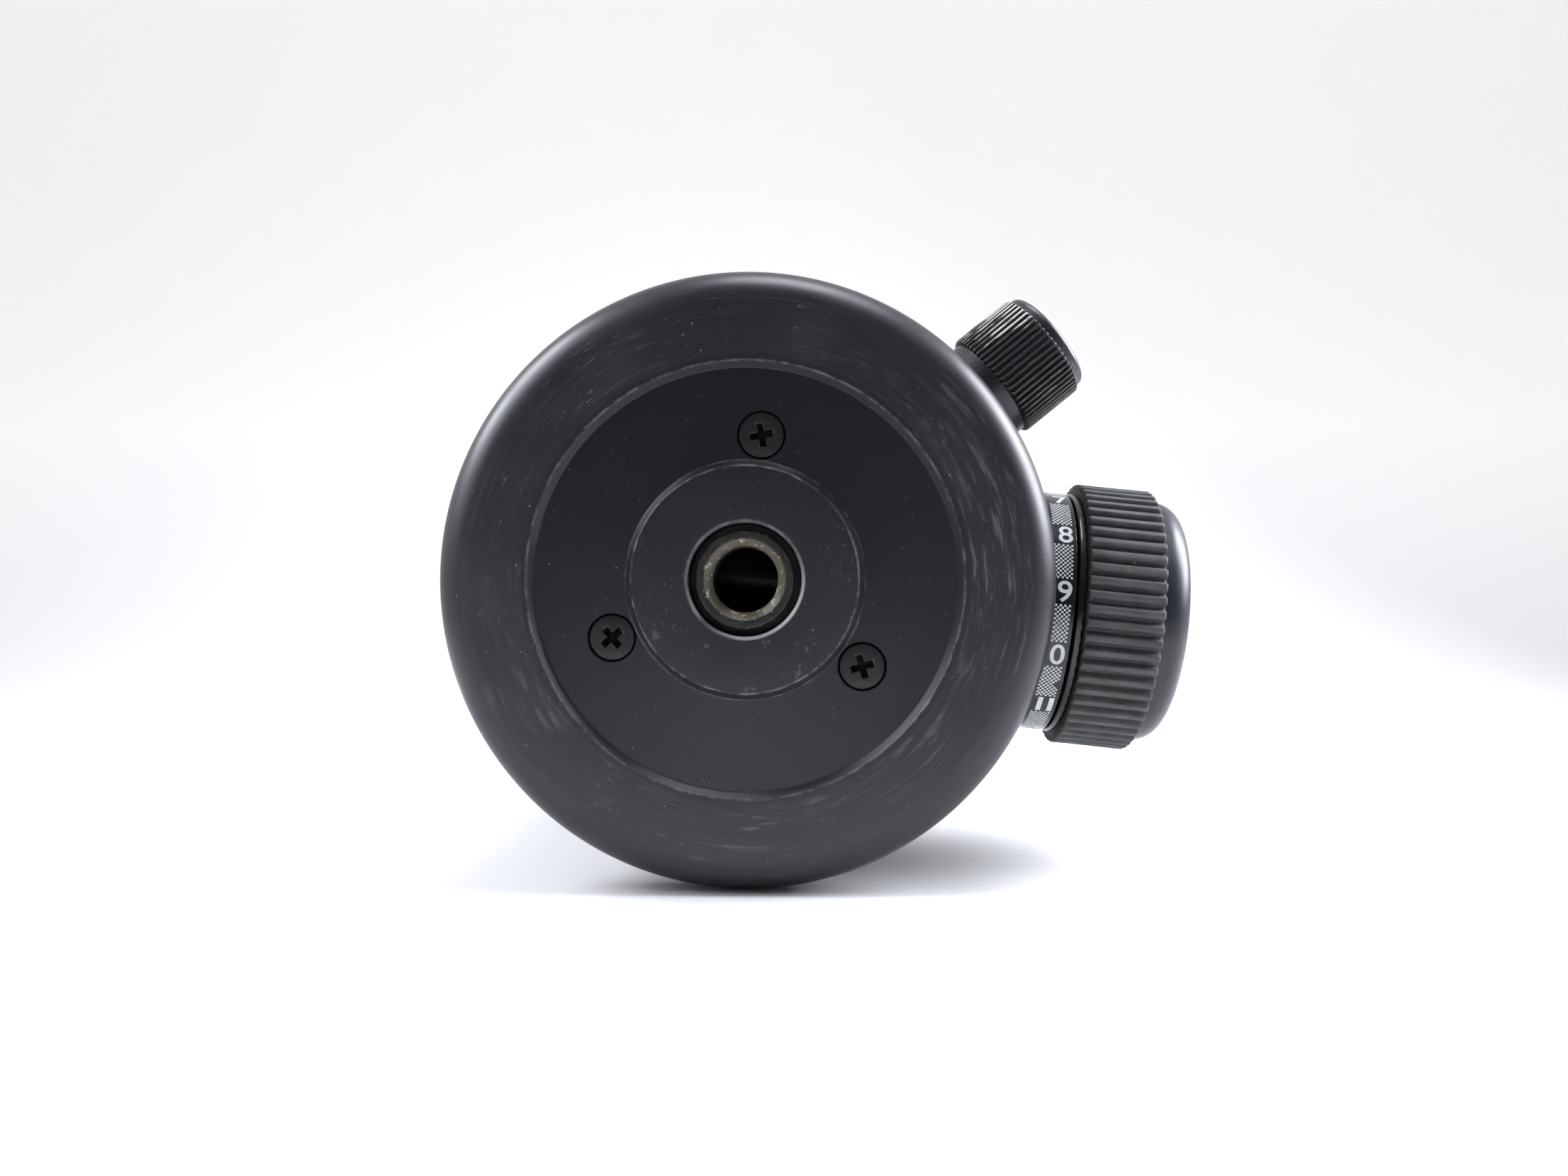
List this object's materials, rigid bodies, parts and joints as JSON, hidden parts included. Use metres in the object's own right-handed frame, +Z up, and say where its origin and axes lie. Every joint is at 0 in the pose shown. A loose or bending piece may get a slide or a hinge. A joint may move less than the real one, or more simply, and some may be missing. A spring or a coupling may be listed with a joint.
{
  "type": "tripod ball head",
  "caption": "Ball head with a panning base, a ribbed lock knob with a number scale, a small pan lock and a notched collar round the ball.",
  "frame": {"origin": "centre of the base's lower face, where it meets the tripod", "axes": "+Z up along the pan axis, +X along the main lock knob's axis, away from the pan axis"},
  "size_m": [0.0954, 0.0792, 0.1106],
  "materials": {
    "anodised_black": "satin black anodised",
    "gloss_black": "glossy black",
    "ball_black": "polished black anodised",
    "bush_steel": "turned, darkened",
    "bare_steel": "turned",
    "screw_black": "black zinc",
    "bronze": "machined",
    "white_plastic": "matt",
    "grip_rubber": "matt ribbed",
    "pad_rubber": "fine grained"
  },
  "bodies": {
    "base": {"base_disc": "anodised_black", "thread_bush": "bush_steel", "base_screws": "screw_black", "pan_hub": "bare_steel", "lower_slip_washer": "white_plastic"},
    "housing": {"housing_shell": "anodised_black", "retaining_ring": "bare_steel", "ring_screws": "screw_black", "upper_slip_washer": "white_plastic", "spindle_bush": "bronze", "spindle_end_bush": "bronze", "pan_screw_bush": "bronze", "index_pin": "white_plastic", "collar_snap_ring": "bare_steel"},
    "scale_dial": {"scale_drum": "gloss_black"},
    "lock_knob": {"lock_spindle": "bare_steel", "knob_collar": "gloss_black", "knob_core": "anodised_black", "knob_grip": "grip_rubber", "knob_cap": "anodised_black", "knob_bolt": "bare_steel"},
    "lower_seat": {"seat_cup": "bare_steel", "seat_liner": "white_plastic"},
    "pan_clamp": {"pan_shoe": "bronze"},
    "pan_lock_knob": {"pan_screw": "bare_steel", "pan_knob": "anodised_black", "pan_knob_end": "anodised_black"},
    "collar": {"notched_collar": "anodised_black", "upper_seat": "white_plastic"},
    "ball": {"ball": "ball_black"},
    "platform": {"stem": "anodised_black", "platform": "anodised_black", "platform_pad": "pad_rubber", "camera_screw": "bare_steel"}
  },
  "joints": [
    {"name": "pan_turn", "type": "hinge", "parent": "base", "child": "housing", "pos_m": [0, 0, 0.0115], "axis": [0, 0, 1], "continuous": true},
    {"name": "dial_turn", "type": "hinge", "parent": "housing", "child": "scale_dial", "pos_m": [0.0385, 0, 0.027], "axis": [1, 0, 0], "range_deg": [-260, 70]},
    {"name": "lock_turn", "type": "hinge", "parent": "housing", "child": "lock_knob", "pos_m": [0.0345, 0, 0.027], "axis": [-1, 0, 0], "range_deg": [0, 90]},
    {"name": "seat_lift", "type": "slide", "parent": "housing", "child": "lower_seat", "axis": [0, 0, 1], "range_m": [0, 0.00035]},
    {"name": "pan_clamp_press", "type": "slide", "parent": "housing", "child": "pan_clamp", "axis": [-0.7071, 0.7071, 0], "range_m": [-0.0005, 0.00035]},
    {"name": "pan_lock_turn", "type": "hinge", "parent": "pan_clamp", "child": "pan_lock_knob", "pos_m": [0.03, -0.03, 0.0183], "axis": [-0.7071, 0.7071, 0], "range_deg": [-180, 126]},
    {"name": "collar_turn", "type": "hinge", "parent": "housing", "child": "collar", "pos_m": [0, 0, 0.0476], "axis": [0, 0, 1], "range_deg": [-90, 90]},
    {"name": "ball_tilt", "type": "hinge", "parent": "collar", "child": "ball", "pos_m": [0, 0, 0.06], "axis": [0, -1, 0], "range_deg": [-36, 90]},
    {"name": "platform_turn", "type": "hinge", "parent": "ball", "child": "platform", "pos_m": [0, 0, 0.075], "axis": [0, 0, 1], "continuous": true}
  ],
  "couplings": [
    {"joint": "lock_turn", "follows": "seat_lift", "rad_per_m": 4488},
    {"joint": "pan_lock_turn", "follows": "pan_clamp_press", "rad_per_m": 6283.2}
  ]
}
